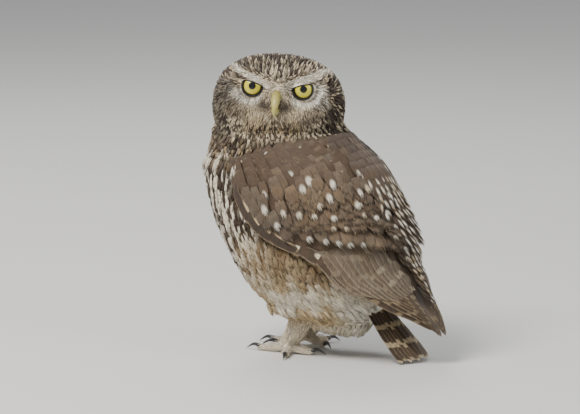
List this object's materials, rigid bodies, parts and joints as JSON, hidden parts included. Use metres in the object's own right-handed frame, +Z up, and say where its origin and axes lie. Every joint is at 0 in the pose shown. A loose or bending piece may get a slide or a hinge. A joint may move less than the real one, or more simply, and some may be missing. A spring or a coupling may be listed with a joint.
{
  "type": "little owl",
  "caption": "Life-size still model of a standing little owl with folded wings, its head turned back over one shoulder.",
  "frame": {"origin": "on the floor, at the bottom centre of the bird's box", "axes": "+Z up; the body faces -Y, +X is the bird's left side, and the head is turned about 118 degrees to its left"},
  "size_m": [0.101, 0.1612, 0.1784],
  "materials": {
    "plumage_brown": "soft barred and spotted feathers",
    "plumage_head": "short streaked feathers",
    "plumage_pale": "loose streaked feathers",
    "plumage_leg": "short bristly feathers",
    "iris_yellow": "wet gloss",
    "lid_black": "fine matt skin",
    "bill_horn": "smooth horn",
    "claw_black": "smooth horn"
  },
  "bodies": {
    "root": {"bill_lower": "bill_horn", "bill_upper": "bill_horn", "claw_hallux_left": "claw_black", "claw_hallux_right": "claw_black", "claw_inner_left": "claw_black", "claw_inner_right": "claw_black", "claw_middle_left": "claw_black", "claw_middle_right": "claw_black", "claw_outer_left": "claw_black", "claw_outer_right": "claw_black", "eye_left": "iris_yellow", "eye_right": "iris_yellow", "eyelid_left": "lid_black", "eyelid_right": "lid_black", "head": "plumage_head", "leg_left": "plumage_leg", "leg_right": "plumage_leg", "neck": "plumage_head", "tail": "plumage_brown", "toe_hallux_left": "plumage_leg", "toe_hallux_right": "plumage_leg", "toe_inner_left": "plumage_leg", "toe_inner_right": "plumage_leg", "toe_middle_left": "plumage_leg", "toe_middle_right": "plumage_leg", "toe_outer_left": "plumage_leg", "toe_outer_right": "plumage_leg", "torso": "plumage_pale", "wing_left": "plumage_brown", "wing_right": "plumage_brown"}
  },
  "joints": []
}
